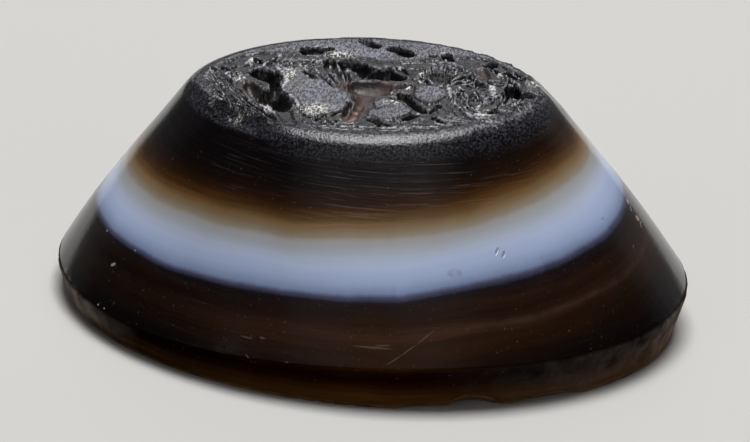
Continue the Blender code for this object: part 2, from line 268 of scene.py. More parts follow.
# The worked ground ends at a border that wear has drawn in at both front corners, where the edge has sunk
LEFT_CORNER_DROP = 0.3
RIGHT_CORNER_DROP = 0.2
border = [(-6.2, 1.0), (-5.75, 0.2), (-5.5, -0.5), (-5.0, -1.1), (-4.5, -1.5), (-4.0, -1.78), (-3.5, -2.05)]
border += [(-3.05, -2.45), (-2.75, -2.9), (-2.5, -3.38), (3.4, -3.3), (3.5, -2.8), (4.0, -2.55), (4.6, -2.2)]
border += [(5.1, -1.55), (5.5, -0.75), (5.75, 0.0), (6.2, 1.0), (6.0, 5.0), (-6.0, 5.0)]
from_border, inside_border = away_from(border, True)
beyond_border = np.where(inside_border, 0.0, from_border)
at_left = capped((-2.4 - cut_x) / 1.1)
at_right = capped((cut_x - 3.4) / 0.6)
corner_drop = LEFT_CORNER_DROP * at_left + RIGHT_CORNER_DROP * at_right
corner_drop *= capped(beyond_border / 0.7)
corner_drop *= capped((2.5 - from_middle) / 1.1)

# Panels that the engraver left smooth
back_band = [(-5.8, 1.9), (-4.2, 2.45), (-3.0, 2.5), (-1.6, 2.55), (-0.9, 2.4), (0.0, 2.25), (0.3, 2.0)]
back_band += [(0.9, 2.05), (1.5, 2.15), (2.1, 2.4), (3.3, 2.6), (4.0, 2.65), (4.8, 2.2), (6.0, 3.0)]
back_band += [(0.0, 5.0)]
cloak = [(-3.02, 1.58), (-2.72, 0.35), (-2.86, -0.25), (-2.35, -0.95), (-2.1, -1.7), (-2.05, -2.3)]
cloak += [(-1.75, -2.6), (-1.35, -2.25), (-0.85, -2.0), (-0.62, -1.7), (-0.42, -1.0), (-0.5, -0.5)]
cloak += [(-1.05, 0.05), (-1.55, 0.8), (-1.8, 1.3), (-2.3, 1.5)]
under_arm = [(1.55, 0.35), (1.52, -0.55), (1.7, -0.85), (2.05, -1.22), (2.35, -1.0), (2.68, -0.5)]
under_arm += [(2.65, 0.1), (2.3, 0.4)]
by_knee = [(0.5, -0.7), (0.95, -0.85), (1.25, -1.15), (1.62, -1.68), (1.5, -1.95), (0.92, -2.55)]
by_knee += [(0.5, -2.45), (0.08, -2.25), (0.05, -1.85), (0.3, -1.55), (0.2, -1.15)]
over_rays = [(1.6, 2.2), (2.3, 2.42), (2.9, 2.35), (3.25, 1.95), (3.2, 1.6), (2.95, 1.72), (2.6, 2.05)]
over_rays += [(2.1, 2.15)]
below_shield = [(2.5, -1.75), (3.1, -2.1), (3.6, -2.4), (3.3, -2.7), (2.75, -2.5)]
smooth = 1.0 - within(border, 0.1)
for outline, soft_edge in (
    (back_band, 0.3),
    (cloak, 0.1),
    (under_arm, 0.12),
    (by_knee, 0.1),
    (over_rays, 0.08),
    (below_shield, 0.2),
):
    smooth = np.maximum(smooth, within(outline, soft_edge))

# Narrow ridges left standing between the cuts and along the border, with highlights painted along them, each
# with half its width
ridges = np.zeros(len(stone_points))
for line, half_width in (
    ([(-3.05, 1.55), (-2.76, 0.7), (-2.7, 0.3), (-2.86, -0.25), (-2.4, -0.95), (-2.15, -1.75)], 0.06),
    ([(-4.3, -0.1), (-4.1, -0.75), (-3.75, -1.35), (-3.3, -1.85), (-2.9, -2.3), (-2.55, -3.0)], 0.055),
    ([(-4.75, -0.75), (-4.3, -1.35), (-3.8, -1.72), (-3.3, -2.05)], 0.045),
    (
        [(-5.5, -0.4), (-5.2, -0.85), (-4.75, -1.28), (-4.2, -1.62), (-3.6, -1.93)]
        + [(-3.1, -2.35), (-2.65, -3.1)],
        0.06,
    ),
    ([(-4.75, 0.85), (-4.35, 0.15), (-4.2, -0.5)], 0.04),
    ([(-4.65, 0.9), (-4.15, 0.6), (-4.1, 0.3)], 0.07),
    ([(-4.08, 1.75), (-3.9, 2.15)], 0.06),
    ([(-3.5, 1.65), (-3.25, 2.1), (-2.95, 2.5)], 0.06),
    ([(-2.8, 2.25), (-2.35, 2.08), (-2.05, 2.3), (-1.8, 2.05)], 0.045),
    ([(-2.9, 1.75), (-2.5, 1.85), (-2.05, 1.62)], 0.04),
    ([(-1.07, 2.0), (-0.99, 1.4), (-0.82, 1.15), (-0.7, 0.5)], 0.05),
    ([(-1.75, 1.35), (-1.45, 0.8), (-1.0, 0.2)], 0.04),
    ([(-1.4, 1.2), (-1.15, 0.75), (-0.9, 0.35)], 0.035),
    ([(2.7, 0.4), (2.76, -0.4), (2.95, -1.1), (3.3, -1.75), (3.8, -2.25)], 0.06),
    ([(3.05, 0.3), (3.28, -0.3), (3.3, -0.9), (3.55, -1.5), (3.8, -1.8)], 0.045),
    ([(4.38, -0.28), (4.05, -0.75), (3.68, -1.32)], 0.055),
    ([(3.62, -1.88), (4.12, -1.95)], 0.08),
    ([(4.6, -0.5), (4.82, -0.95), (4.75, -1.5), (4.4, -2.0), (3.9, -2.2)], 0.05),
    ([(5.45, -0.4), (5.32, -0.9), (5.0, -1.55)], 0.09),
    ([(4.35, -0.3), (4.9, -0.42), (5.45, -0.32)], 0.05),
    ([(4.12, 0.5), (4.2, -0.1)], 0.11),
    ([(4.35, 1.5), (4.52, 1.15)], 0.06),
    ([(4.7, 0.98), (5.02, 0.65)], 0.05),
    ([(3.3, 1.6), (3.6, 1.1), (3.98, 0.55)], 0.05),
    ([(1.95, 0.95), (2.18, 0.42), (2.5, 0.38)], 0.05),
    ([(-2.3, -3.1), (3.4, -2.95)], 0.05),
    ([(-2.3, -3.38), (3.4, -3.22)], 0.04),
    ([(1.02, 0.08), (1.38, 0.28)], 0.08),
    ([(0.66, -0.32), (0.86, 0.02)], 0.04),
    ([(0.78, -0.36), (0.96, -0.04)], 0.03),
):
    ridges = np.maximum(ridges, capped(1.6 - away_from(line, False)[0] / half_width))
streaks = np.array([noise.noise(Vector((a * 6.5, b * 1.2, 3.0))) for a, b in zip(cut_across, cut_along)])
to_shoulder = capped((1.0 - from_middle) / 0.04)
ground_sink = GROUND_DEPTH + GROUND_WAVER * wobble[:, 1] + GROUND_STREAKS * streaks
ground_sink += GROUND_GRAIN * fine_wobble[:, 1]
ground_sink *= (1.0 - smooth) * (1.0 - ridges) * to_shoulder


# The wheel's rim is a flattened round, lifted a little so that its cuts end in a point, and blunt at its ends
CUTTER_LIFT = 0.22
CUTTER_BLUNTNESS = 2.8


def cut(start, end, width, depth, bow=0.0):
    """A boat-shaped cut, as a small engraving wheel leaves it, along a line that may bow to its left."""
    start, end = np.array(start), np.array(end)
    middle = (start + end) / 2.0
    half_run = np.linalg.norm(end - start) / 2.0
    ahead = (end - start) / (2.0 * half_run)
    x, y = cut_x - middle[0], cut_y - middle[1]
    along = (x * ahead[0] + y * ahead[1]) / half_run
    across = (y * ahead[0] - x * ahead[1] - bow * (1.0 - along**2)) * 2.0 / width
    blunt_end = np.maximum(1.0 - np.abs(along) ** CUTTER_BLUNTNESS, 0.0) ** (1.0 / CUTTER_BLUNTNESS)
    room = np.maximum(blunt_end**2 - across**2, 0.0)
    height = depth * (CUTTER_LIFT - (1.0 + CUTTER_LIFT) * np.sqrt(room))
    deepest = height < cut_floor
    cut_floor[deepest] = height[deepest]
    cut_across[deepest] = (across * width / 2.0)[deepest]
    cut_along[deepest] = (along * half_run)[deepest]


def cut_fan(hub, inner, outer, first, last, count, width, depth):
    """Cuts spread like rays round a hub, from one angle to another, in degrees."""
    hub = np.array(hub)
    for angle in np.radians(np.linspace(first, last, count)):
        ray = np.array((math.cos(angle), math.sin(angle)))
        cut(hub + ray * inner, hub + ray * outer, width, depth)


def cut_row(start, end, shift, count, width, depth, bow=0.0):
    """Like cuts side by side, each moved on from the last by a shift at its start and at its end."""
    for step in range(count):
        near = np.array(start) + np.array(shift[0]) * step
        far = np.array(end) + np.array(shift[1]) * step
        cut(near, far, width, depth, bow)


def cut_arc(centre, radius, first, last, count, width, depth):
    """Bowed cuts end to end along an arc, going clockwise, with its angles in degrees."""
    centre = np.array(centre)
    turn = math.radians(last - first) / count
    bow = radius * (1.0 - math.cos(turn / 2.0))
    for step in range(count):
        begin = math.radians(first) + turn * step
        near = np.array((math.cos(begin), math.sin(begin))) * radius
        far = np.array((math.cos(begin + turn), math.sin(begin + turn))) * radius
        cut(centre + near, centre + far, width, depth, bow)


STROKE_SPREAD = 14.0
strokes = np.random.default_rng(5)


def scattered_strokes(middle, reach, heading, count, length, width, depth):
    """Short strokes laid by hand over an oval area, most of them near one heading in degrees."""
    for _ in range(count):
        spread = math.sqrt(strokes.uniform(0.0, 1.0))
        turn = strokes.uniform(0.0, 2.0 * math.pi)
        here = np.array(middle) + spread * np.array((math.cos(turn), math.sin(turn))) * reach
        way = math.radians(heading + strokes.normal(0.0, STROKE_SPREAD))
        half = np.array((math.cos(way), math.sin(way))) * length * strokes.uniform(0.6, 1.3) / 2.0
        stroke_width = width * strokes.uniform(0.7, 1.4)
        cut(here - half, here + half, stroke_width, depth * strokes.uniform(0.6, 1.4))


# The left hollow, with a shallow furrow running down from it
cut((-3.8, 1.42), (-2.98, 0.38), 0.95, 0.62)
cut((-4.0, 0.35), (-3.22, -1.68), 0.66, 0.5)
cut((-3.38, -0.12), (-2.68, -1.92), 1.02, 0.8)
cut((-3.12, 0.8), (-2.98, -0.5), 0.4, 0.5)
cut((-2.8, -1.3), (-2.35, -3.3), 0.7, 0.16)

# The left border: long strokes that follow the edge, and small pits above them
cut_row((-4.5, 0.3), (-3.6, -1.95), ((-0.42, -0.06), (-0.5, 0.3)), 3, 0.24, 0.1, -0.1)
cut((-3.32, -2.15), (-2.92, -3.0), 0.28, 0.14, 0.08)
cut((-5.36, 1.28), (-5.0, 1.14), 0.3, 0.16)
cut((-4.84, 1.5), (-4.68, 1.1), 0.3, 0.2)
cut((-4.82, 1.95), (-4.58, 1.65), 0.26, 0.12)
cut((-3.76, 2.3), (-3.64, 1.72), 0.36, 0.24)
cut((-4.6, 0.86), (-4.08, 0.86), 0.22, 0.14)

# The figure's head, sleeve, folds of the cloak and the deep hollow of the body
cut((-2.36, 2.84), (-1.5, 3.02), 0.66, 0.34)
cut((-1.6, 3.0), (-1.18, 3.12), 0.36, 0.22)
cut((-1.32, 2.5), (-1.28, 1.3), 0.5, 0.4)
cut_row((-3.4, 1.62), (-2.95, 2.3), ((0.36, 0.0), (0.34, 0.02)), 5, 0.24, 0.14)
cut((-2.8, 1.55), (-1.6, 1.5), 0.22, 0.13)
cut((-2.12, 1.28), (-1.72, 0.58), 0.34, 0.24)
cut_row((-1.72, 1.3), (-1.08, -0.1), ((0.27, 0.25), (0.17, 0.1)), 4, 0.19, 0.16)
cut((-1.0, 2.3), (0.1, 1.45), 0.85, 0.5)
cut((-0.4, 1.35), (1.02, 1.25), 1.1, 0.8)
cut((0.5, 1.8), (1.2, 0.75), 0.68, 0.55)
cut((-0.75, 0.26), (0.95, 0.16), 1.0, 0.46)
cut((-0.95, 0.5), (-0.2, -0.55), 0.4, 0.3)
cut((1.15, 0.4), (0.15, -0.5), 0.46, 0.34)
cut((0.12, 0.6), (-0.18, -1.2), 0.86, 0.46)

# The figure's arm, thighs, shins and feet
cut((0.98, 0.05), (1.5, 0.5), 0.28, 0.24)
cut((0.58, -0.5), (0.86, 0.05), 0.24, 0.2)
cut((1.12, -0.15), (1.42, -0.95), 0.5, 0.45)
cut((0.72, -0.62), (1.3, -0.66), 0.34, 0.3)
cut((1.3, -0.65), (2.04, -1.85), 0.46, 0.42)
cut((2.5, -1.0), (2.1, -1.85), 0.3, 0.3)
cut((1.82, -1.85), (1.2, -2.42), 0.34, 0.28)
cut((-0.14, -0.95), (-0.5, -2.6), 0.44, 0.32)
cut((-0.48, -1.05), (-0.74, -2.3), 0.26, 0.38)
cut((-0.7, -1.82), (-1.72, -2.66), 0.22, 0.2)
cut((-0.72, -2.4), (-0.98, -2.78), 0.16, 0.16)
cut((0.04, -2.38), (0.92, -2.84), 0.34, 0.28)
cut((0.3, -2.55), (0.5, -3.0), 0.3, 0.2)
cut((0.96, -2.48), (1.3, -2.8), 0.22, 0.16)
cut((2.2, -2.02), (2.62, -2.5), 0.32, 0.26)
cut((2.26, -2.72), (2.78, -2.7), 0.18, 0.14)

# The ground line under the figure, and the pits of the upper border
cut_row((-2.25, -3.08), (3.4, -3.02), ((0.15, -0.25), (-0.25, -0.25)), 2, 0.16, 0.11)
cut((-0.36, 4.0), (0.34, 3.25), 0.5, 0.3)
cut((0.62, 3.42), (1.5, 2.62), 0.62, 0.34)
cut((1.96, 2.84), (2.26, 2.7), 0.28, 0.16)
cut((2.5, 3.02), (2.72, 2.42), 0.42, 0.26)
cut((3.82, 2.38), (4.28, 2.02), 0.52, 0.32)
cut((4.1, 1.92), (4.42, 1.5), 0.3, 0.18)
cut((4.5, 1.74), (5.02, 1.1), 0.32, 0.24)
cut((5.04, 1.28), (5.36, 1.0), 0.34, 0.22)

# The rayed shield: a fan of rays over a shallow panel, inside a bowed rim
cut((1.95, 1.75), (2.9, 1.12), 0.9, 0.26)
cut_fan((2.2, 0.45), 0.35, 1.5, 94.0, 20.0, 5, 0.26, 0.22)
cut((0.98, 1.65), (1.82, 1.5), 0.8, 0.14)
cut((1.66, 0.65), (1.9, 1.35), 0.24, 0.2)
cut((1.0, 2.1), (2.6, 2.15), 0.16, 0.1, 0.1)
cut((2.65, 2.12), (3.35, 1.2), 0.16, 0.1, 0.12)
cut((2.02, 0.42), (2.32, 0.44), 0.22, 0.14)
cut((3.62, 2.0), (3.86, 0.85), 0.42, 0.15)
cut_row((3.12, 0.98), (3.5, 0.35), ((0.22, 0.02), (0.24, -0.06)), 2, 0.2, 0.22)

# The round shield: two concentric rims with a pit in the middle, and strokes beside them
cut_arc((4.1, -1.3), 1.02, 42.0, -112.0, 3, 0.17, 0.13)
cut_arc((4.1, -1.3), 0.7, 30.0, -100.0, 2, 0.15, 0.11)
cut((3.92, -1.72), (4.55, -1.42), 0.44, 0.45)
cut((3.36, -0.85), (3.52, -1.3), 0.26, 0.2)
cut((3.66, -0.78), (3.8, -1.12), 0.18, 0.13)
cut((3.96, -0.64), (4.14, -0.4), 0.2, 0.13)
cut((4.6, -0.9), (4.66, -0.5), 0.18, 0.13)
cut_row((2.76, -1.25), (3.3, -2.3), ((0.2, -0.2), (0.26, -0.06)), 3, 0.18, 0.13, -0.08)

# The deep three-cornered cut by the right end, and the ovals next to it
cut((4.4, -0.06), (5.6, -0.3), 0.6, 0.6)
cut((4.72, 0.7), (4.92, -0.1), 0.62, 0.6)
cut((5.0, -0.05), (5.5, -0.28), 0.26, 0.2)
cut((3.24, 0.22), (3.02, -0.42), 0.26, 0.2)
cut((4.16, 0.92), (4.3, 0.46), 0.42, 0.22)

# Finer cuts round the left hollow: a ridge beside it, dots and dashes above it, and strokes down the border
cut_row((-4.38, -0.1), (-2.62, -2.95), ((-0.13, -0.12), (-0.1, -0.02)), 2, 0.13, 0.17, -0.2)
cut_row((-5.1, -0.3), (-3.9, -2.0), ((0.16, -0.1), (0.16, 0.06)), 4, 0.12, 0.16, -0.12)
cut((-4.98, 0.03), (-4.8, -0.06), 0.12, 0.2)
cut_row((-4.52, 0.94), (-4.44, 0.78), ((0.11, 0.01), (0.11, 0.0)), 4, 0.09, 0.18)
cut_row((-4.66, 0.92), (-4.34, 0.4), ((-0.14, -0.3), (-0.12, -0.25)), 3, 0.1, 0.15)
cut_row((-3.55, 1.75), (-3.05, 2.4), ((0.24, 0.0), (0.26, 0.0)), 8, 0.12, 0.16, 0.05)
cut_row((-3.0, 1.78), (-1.7, 1.9), ((0.05, 0.2), (0.05, 0.2)), 3, 0.12, 0.15, 0.06)
cut((-3.62, -0.2), (-3.42, -0.5), 0.2, 0.6)

# Finer cuts on the figure: the folds of the cloak, and streaks inside the hollow of the body
cut_row((-1.05, 2.1), (-0.72, 0.55), ((0.16, 0.02), (0.13, -0.05)), 2, 0.13, 0.3, 0.06)
cut_row((-1.62, 1.0), (-1.0, -0.1), ((0.12, 0.12), (0.09, 0.05)), 5, 0.08, 0.17, 0.04)
cut_row((-0.62, 2.15), (-0.5, 1.4), ((0.2, -0.03), (0.2, -0.05)), 3, 0.12, 0.3)
cut_row((0.62, -0.08), (0.7, -0.45), ((0.1, 0.06), (0.08, 0.03)), 2, 0.09, 0.3)
cut((1.0, 0.3), (1.42, 0.52), 0.14, 0.34)
cut((0.98, 1.95), (1.3, 1.2), 0.5, 0.2)
cut((1.52, 1.0), (1.6, 0.7), 0.14, 0.3)
cut((1.9, 1.0), (2.06, 0.36), 0.2, 0.28)
cut((0.32, -1.82), (0.72, -1.34), 0.1, 0.06)
cut((-0.58, -2.82), (-0.36, -2.78), 0.14, 0.18)
cut((1.26, -2.5), (1.34, -2.75), 0.1, 0.16)
cut((1.68, -2.42), (1.76, -2.8), 0.1, 0.17)
cut((1.88, -2.5), (1.92, -2.72), 0.08, 0.15)
cut_row((-2.0, -2.75), (-1.75, -2.98), ((0.17, 0.02), (0.17, 0.0)), 6, 0.08, 0.15)

# Finer cuts on the right: the rays, the smooth rim round them, and the crowded strokes of the round shield
cut_fan((2.45, 0.5), 0.72, 1.62, 116.0, 72.0, 9, 0.09, 0.32)
cut((2.62, 1.95), (2.76, 1.35), 0.3, 0.26)
cut((2.6, 1.28), (2.72, 0.7), 0.26, 0.26)
cut((3.26, 1.42), (3.52, 1.02), 0.26, 0.34)
cut((3.58, 1.02), (3.95, 0.42), 0.3, 0.34)
cut_row((3.56, 0.86), (3.7, 0.5), ((0.1, 0.0), (0.1, 0.0)), 2, 0.06, 0.3)
cut((3.75, 2.0), (3.95, 1.0), 0.46, 0.18)
cut((4.0, 1.0), (4.5, 0.52), 0.45, 0.24)
cut((2.98, -0.35), (3.2, 0.2), 0.3, 0.22)
cut_arc((4.15, -1.25), 1.22, 35.0, -105.0, 4, 0.1, 0.17)
cut_arc((4.15, -1.25), 0.85, 60.0, -120.0, 3, 0.09, 0.17)
cut_arc((4.2, -1.3), 0.5, 80.0, -70.0, 2, 0.08, 0.17)
cut((4.02, -0.42), (4.14, -0.66), 0.14, 0.3)
cut_row((3.02, -1.3), (3.42, -2.05), ((0.2, 0.16), (0.18, 0.07)), 2, 0.08, 0.14, -0.05)
cut_row((2.72, -1.7), (3.15, -2.1), ((-0.06, -0.2), (0.02, -0.18)), 3, 0.08, 0.17, -0.04)
cut_row((2.78, 0.1), (2.86, -1.1), ((0.14, -0.05), (0.14, -0.05)), 2, 0.08, 0.16, 0.04)
cut((2.18, -2.08), (2.58, -2.45), 0.34, 0.24)
cut_row((2.3, -2.66), (2.42, -2.78), ((0.17, 0.0), (0.17, 0.0)), 3, 0.1, 0.2)

# Ground that the engraver left rough, with strokes over it that follow its shape
for area in (
    ((-4.75, -0.1), (0.65, 0.9), -66.0, 30, 1.2, 0.09, 0.12),
    ((-3.9, -1.5), (0.5, 0.4), -48.0, 12, 0.9, 0.1, 0.14),
    ((-4.3, 1.15), (0.7, 0.65), 30.0, 18, 0.5, 0.12, 0.18),
    ((-2.5, 2.0), (0.9, 0.4), -25.0, 26, 0.6, 0.1, 0.17),
    ((-0.6, 1.95), (0.55, 0.4), -50.0, 16, 0.4, 0.1, 0.18),
    ((3.2, -1.0), (0.4, 0.9), -65.0, 16, 0.8, 0.11, 0.19),
    ((3.75, -0.5), (0.35, 0.6), -50.0, 14, 0.5, 0.12, 0.22),
    ((4.5, -1.0), (0.4, 0.6), 62.0, 10, 0.6, 0.11, 0.18),
    ((5.05, -0.95), (0.2, 0.6), 75.0, 10, 0.5, 0.1, 0.17),
    ((3.6, 0.9), (0.5, 0.6), -50.0, 14, 0.5, 0.11, 0.2),
    ((4.7, 1.2), (0.55, 0.4), -45.0, 14, 0.4, 0.12, 0.2),
    ((2.3, -2.55), (1.1, 0.3), -35.0, 26, 0.35, 0.1, 0.17),
    ((-0.9, -2.75), (0.8, 0.22), -35.0, 18, 0.4, 0.1, 0.16),
    ((-4.5, -0.5), (0.75, 0.95), -62.0, 24, 1.1, 0.08, 0.14),
):
    scattered_strokes(*area)


def above_surroundings(heights):
    """How far each point of the face stands above the mean of itself and its eight neighbours."""
    columns, rows = FACE_SQUARES
    face = heights[: (rows + 1) * (columns + 1)].reshape(rows + 1, columns + 1)
    padded = np.pad(face, 1, mode="edge")
    total = np.zeros_like(face)
    for down in range(3):
        for over in range(3):
            total += padded[down : down + rows + 1, over : over + columns + 1]
    above = np.zeros(len(heights))
    above[: face.size] = (face - total / 9).ravel()
    return above


# Wear has rounded the rims of the cuts, which get painted highlights, and the face falls away a little at the
# back
FLOOR_WAVER = 0.02
RIM_SOFTNESS = 0.014
RIM_HIGHLIGHT_HEIGHT = 0.025
RIM_HIGHLIGHT_STRENGTH = 0.8
BACK_FALLS_FROM = 1.8
BACK_FALL = 0.003


def sink_device():
    """The stone's points lowered to the ground and into the cuts, with how deep they lie and where rim
    highlights are painted.
    """
    height = on_device[:, 2] - ground_sink
    gap = height - cut_floor - FLOOR_WAVER * wobble[:, 0] * (cut_floor < 0.0)
    softened = height - (gap + np.sqrt(gap**2 + RIM_SOFTNESS**2)) / 2.0
    sunk = np.where(gap > -0.2, softened, height)
    moved = on_device.copy()
    moved[:, 2] = sunk - corner_drop - BACK_FALL * np.clip(on_device[:, 1] - BACK_FALLS_FROM, 0.0, 3.0) ** 2
    depth = np.maximum(on_device[:, 2] - sunk, 0.0)
    rim = capped(above_surroundings(sunk) / RIM_HIGHLIGHT_HEIGHT - 0.25)
    rim *= capped((0.2 - depth) / 0.1)
    rim = np.maximum(RIM_HIGHLIGHT_STRENGTH * rim, ridges * (gap < 0.0))
    return moved @ device_frame[:3, :3].T + device_frame[:3, 3], depth, rim


stone_points, cut_depth, rim_highlight_mask = sink_device()

# Faint waves from grinding by hand, on the side and more on the bevel
outward = stone_points * (1.0, 1.0, 0.0)
outward /= np.maximum(np.linalg.norm(outward, axis=1, keepdims=True), 1.0)
long_waves = np.array([noise.noise(Vector(point) * 0.8) for point in stone_points])
short_waves = np.array([noise.noise(Vector(point) * 2.6) for point in stone_points])
waves = long_waves + 0.4 * short_waves
wave_height = np.interp(from_middle, (2.0, 2.1, 3.0, 4.1), (0.0, 0.012, 0.012, 0.04))
wave_height *= stone_points[:, 2] > 0.04
stone_points -= outward * (wave_height * (0.7 + waves))[:, None]

# Old chips are shell-shaped scars with faint rings in them, and small nicks run round every edge
CHIP_RINGS = 22.0
BASE_NICKS = 90


def chip(here, outward, width, depth, rings=0.0):
    """A chip at a place: a ball that bites to a depth leaves a scar of a width."""
    radius = (width * width / 4.0 + depth * depth) / (2.0 * depth)
    outward = np.array(outward, float)
    outward /= np.linalg.norm(outward)
    centre = np.array(here, float) + outward * (radius - depth)
    from_centre = stone_points - centre
    height = from_centre @ outward
    aside = np.linalg.norm(from_centre - height[:, None] * outward, axis=1)
    inside = (aside < radius) & (np.linalg.norm(from_centre, axis=1) < radius)
    scar = -np.sqrt(np.maximum(radius**2 - aside**2, 0.0)) + rings * np.sin(aside * CHIP_RINGS)
    bite = np.where(inside, np.maximum(height - scar, 0.0), 0.0)
    stone_points[:] = stone_points - bite[:, None] * outward


def base_edge_chip(angle, width, depth):
    """A chip out of the edge of the base, at an angle in degrees round from +X."""
    turn = math.radians(angle)
    x = (GIRDLE_LENGTH / 2.0 - BASE_INSET) * math.cos(turn)
    y = (GIRDLE_WIDTH / 2.0 - BASE_INSET) * math.sin(turn)
    chip((x, y, 0.0), (math.cos(turn), math.sin(turn), -0.9), width, depth, 0.004)


# The larger chips at the front of the base and behind the face, and then the nicks
for angle, width, depth in ((-69.6, 2.3, 0.46), (-63.8, 2.2, 0.12), (-56.0, 4.0, 0.23), (-78.3, 2.6, 0.17)):
    base_edge_chip(angle, width, depth)
chip((1.7, 4.62, 7.85), (0.2, 0.7, 0.7), 1.3, 0.3)
nicks = np.random.default_rng(11)
for _ in range(BASE_NICKS):
    base_edge_chip(nicks.uniform(0.0, 360.0), nicks.uniform(0.15, 0.6), nicks.uniform(0.01, 0.06))
for edge, first, last, count, lift, inset, deepest in (
    (face_edge, 10.0, 110.0, 22, 0.9, 0.13, 0.12),
    (girdle_edge, 95.0, 445.0, 110, 0.1, 0.0, 0.045),
):
    for angle in np.radians(nicks.uniform(first, last, count)):
        way = np.array((math.cos(angle), math.sin(angle), lift))
        at_edge = edge(np.array([angle]))[0] - inset * way
        chip(at_edge, way, nicks.uniform(0.2, 0.9), nicks.uniform(0.01, deepest), 0.003)

# The layers of the agate lie nearly level, fan out a little towards the right, and sag at the left
LAYER_TILT = 0.079
LAYER_LEAN = 0.06
FANS_FROM = 3.81
x, y, z = stone_points.T
layer_tilt = LAYER_TILT + 0.0265 * np.minimum(z - FANS_FROM, 0) + 0.0165 * np.maximum(z - FANS_FROM, 0)
layer_height = z - layer_tilt * x - LAYER_LEAN * y
sag = 0.0025 * np.minimum(x, 0.0) ** 2 - 0.06 * np.exp(-(((x - 3.2) / 2.2) ** 2))
layer_height += sag * capped((5.3 - layer_height) / 1.5)

# Where the shoulder is worn, most at the front left, and where on it the painted sparkle and sheen go; and
# where brown stain, partly a painted glow, and pale residue lie in the cuts
near_shoulder = capped(1.0 - np.abs(from_middle - 1.5) / 0.58)
worn_corner = at_left * capped(beyond_border / 0.1) * (on_device[:, 1] < 0.6)
# The wear also places the painted sparkle and sheen on the shoulder
wear = near_shoulder * (1.0 - 0.75 * worn_corner)
worn_corner *= capped((1.75 - from_middle) / 0.5)


def spot(middle, reach, amount, turn=0.0):
    """A soft-edged oval spot on the upper face, turned by an angle in degrees."""
    x, y = on_device[:, 0] - middle[0], on_device[:, 1] - middle[1]
    along = x * math.cos(math.radians(turn)) + y * math.sin(math.radians(turn))
    across = y * math.cos(math.radians(turn)) - x * math.sin(math.radians(turn))
    return amount * np.exp(-((along / reach[0]) ** 2) - (across / reach[1]) ** 2)


def in_cuts(*spots):
    """The strongest of several spots at each point, inside the cuts alone."""
    return np.max([spot(*values) for values in spots], axis=0) * capped(cut_depth / 0.06)


# Brown stain in the cuts, partly a painted glow of light through the sard and on the lit wall of the left
# hollow
stain_and_glow = in_cuts(
    ((0.05, -0.1), (0.75, 0.5), 0.95),
    ((-0.2, -1.2), (1.0, 0.35), 0.8, 80.0),
    ((0.75, 0.3), (0.5, 0.3), 0.6, 40.0),
    ((-3.75, -0.6), (1.0, 0.3), 0.45, -62.0),
    ((0.1, 0.45), (0.5, 0.16), 0.7, -10.0),
    ((0.55, 0.45), (0.65, 0.22), 0.85, 15.0),
    ((-0.75, 0.4), (0.25, 0.5), 0.6, 15.0),
    ((0.0, -0.7), (0.35, 0.3), 0.9),
    ((-3.95, 0.15), (0.5, 0.2), 0.45, -70.0),
    ((3.82, 1.5), (0.6, 0.22), 0.55, -78.0),
    ((4.28, 0.75), (0.35, 0.25), 0.35, -50.0),
)
residue = in_cuts(((-0.27, -1.4), (0.25, 0.12), 1.0, 65.0), ((-0.42, -2.15), (0.4, 0.12), 1.0, 70.0))

# Spots on the panels and in the cuts where painted glints go, with how strongly
painted_glint_spots = np.zeros(len(stone_points))
for values in (
    ((-0.95, 2.68), (0.6, 0.2), 1.0),
    ((-1.65, -1.85), (0.5, 0.45), 1.15),
    ((-2.6, 0.9), (0.25, 0.6), 1.0),
    ((0.9, -1.1), (0.4, 0.2), 1.0),
    ((-1.24, 1.7), (0.06, 0.1), 2.5),
    ((-3.28, -0.5), (0.06, 0.1), 2.5),
    ((1.22, 0.18), (0.2, 0.09), 2.5),
    ((1.76, 1.38), (0.1, 0.16), 2.5),
    ((1.74, 0.82), (0.09, 0.15), 3.0),
    ((3.88, -1.92), (0.22, 0.06), 2.2),
    ((4.0, -1.5), (0.1, 0.08), 2.0),
    ((4.12, 0.2), (0.06, 0.2), 1.1),
    ((5.55, 0.7), (0.2, 0.2), 1.5),
    ((4.38, 1.35), (0.08, 0.12), 1.1),
    ((-3.95, 2.0), (0.07, 0.2), 1.8),
    ((-4.3, 0.55), (0.14, 0.16), 1.6),
    ((-4.15, -2.35), (0.12, 0.2), 0.5),
    ((-4.45, -2.2), (0.08, 0.12), 0.5),
):
    painted_glint_spots += spot(*values)

# How brightly the painted glow of light through the stone shows at the front: dim at the left, and clearest
# under the middle
side_x = stone_points[:, 0]
GLOW_PLACES = (-9.0, -6.0, -3.0, 0.0, 2.7, 5.4, 8.0)
painted_dark_glow = np.interp(side_x, GLOW_PLACES, (0.25, 0.32, 0.75, 1.2, 1.0, 0.85, 0.75))
low_right = capped((side_x - 1.5) / 4.0) * capped((2.9 - layer_height) / 0.9)
painted_dark_glow *= 1.0 - 0.6 * low_right * (layer_height > 1.3)
painted_band_glow = np.interp(side_x, (-8.5, -6.0, -3.0, 0.0, 4.0, 7.5), (1.0, 0.8, 0.86, 1.0, 0.97, 1.05))
painted_glow = np.where(layer_height < 3.68, painted_dark_glow, painted_band_glow)

# The ends of the bevel are scuffed pale and painted with a grey sheen
SCUFF_AND_SHEEN_PLACES = (-10.0, -9.3, -8.6, -7.4, 2.0, 5.4, 7.2, 8.6, 9.3, 10.0)
bevel_scuff_and_sheen = np.interp(side_x, SCUFF_AND_SHEEN_PLACES, (1.7, 1.1, 0.35, 0.0, 0.0, 0.13, 0.3, 0.3, 0.5, 1.3))
bevel_scuff_and_sheen *= capped((from_middle - 2.96) / 0.06)

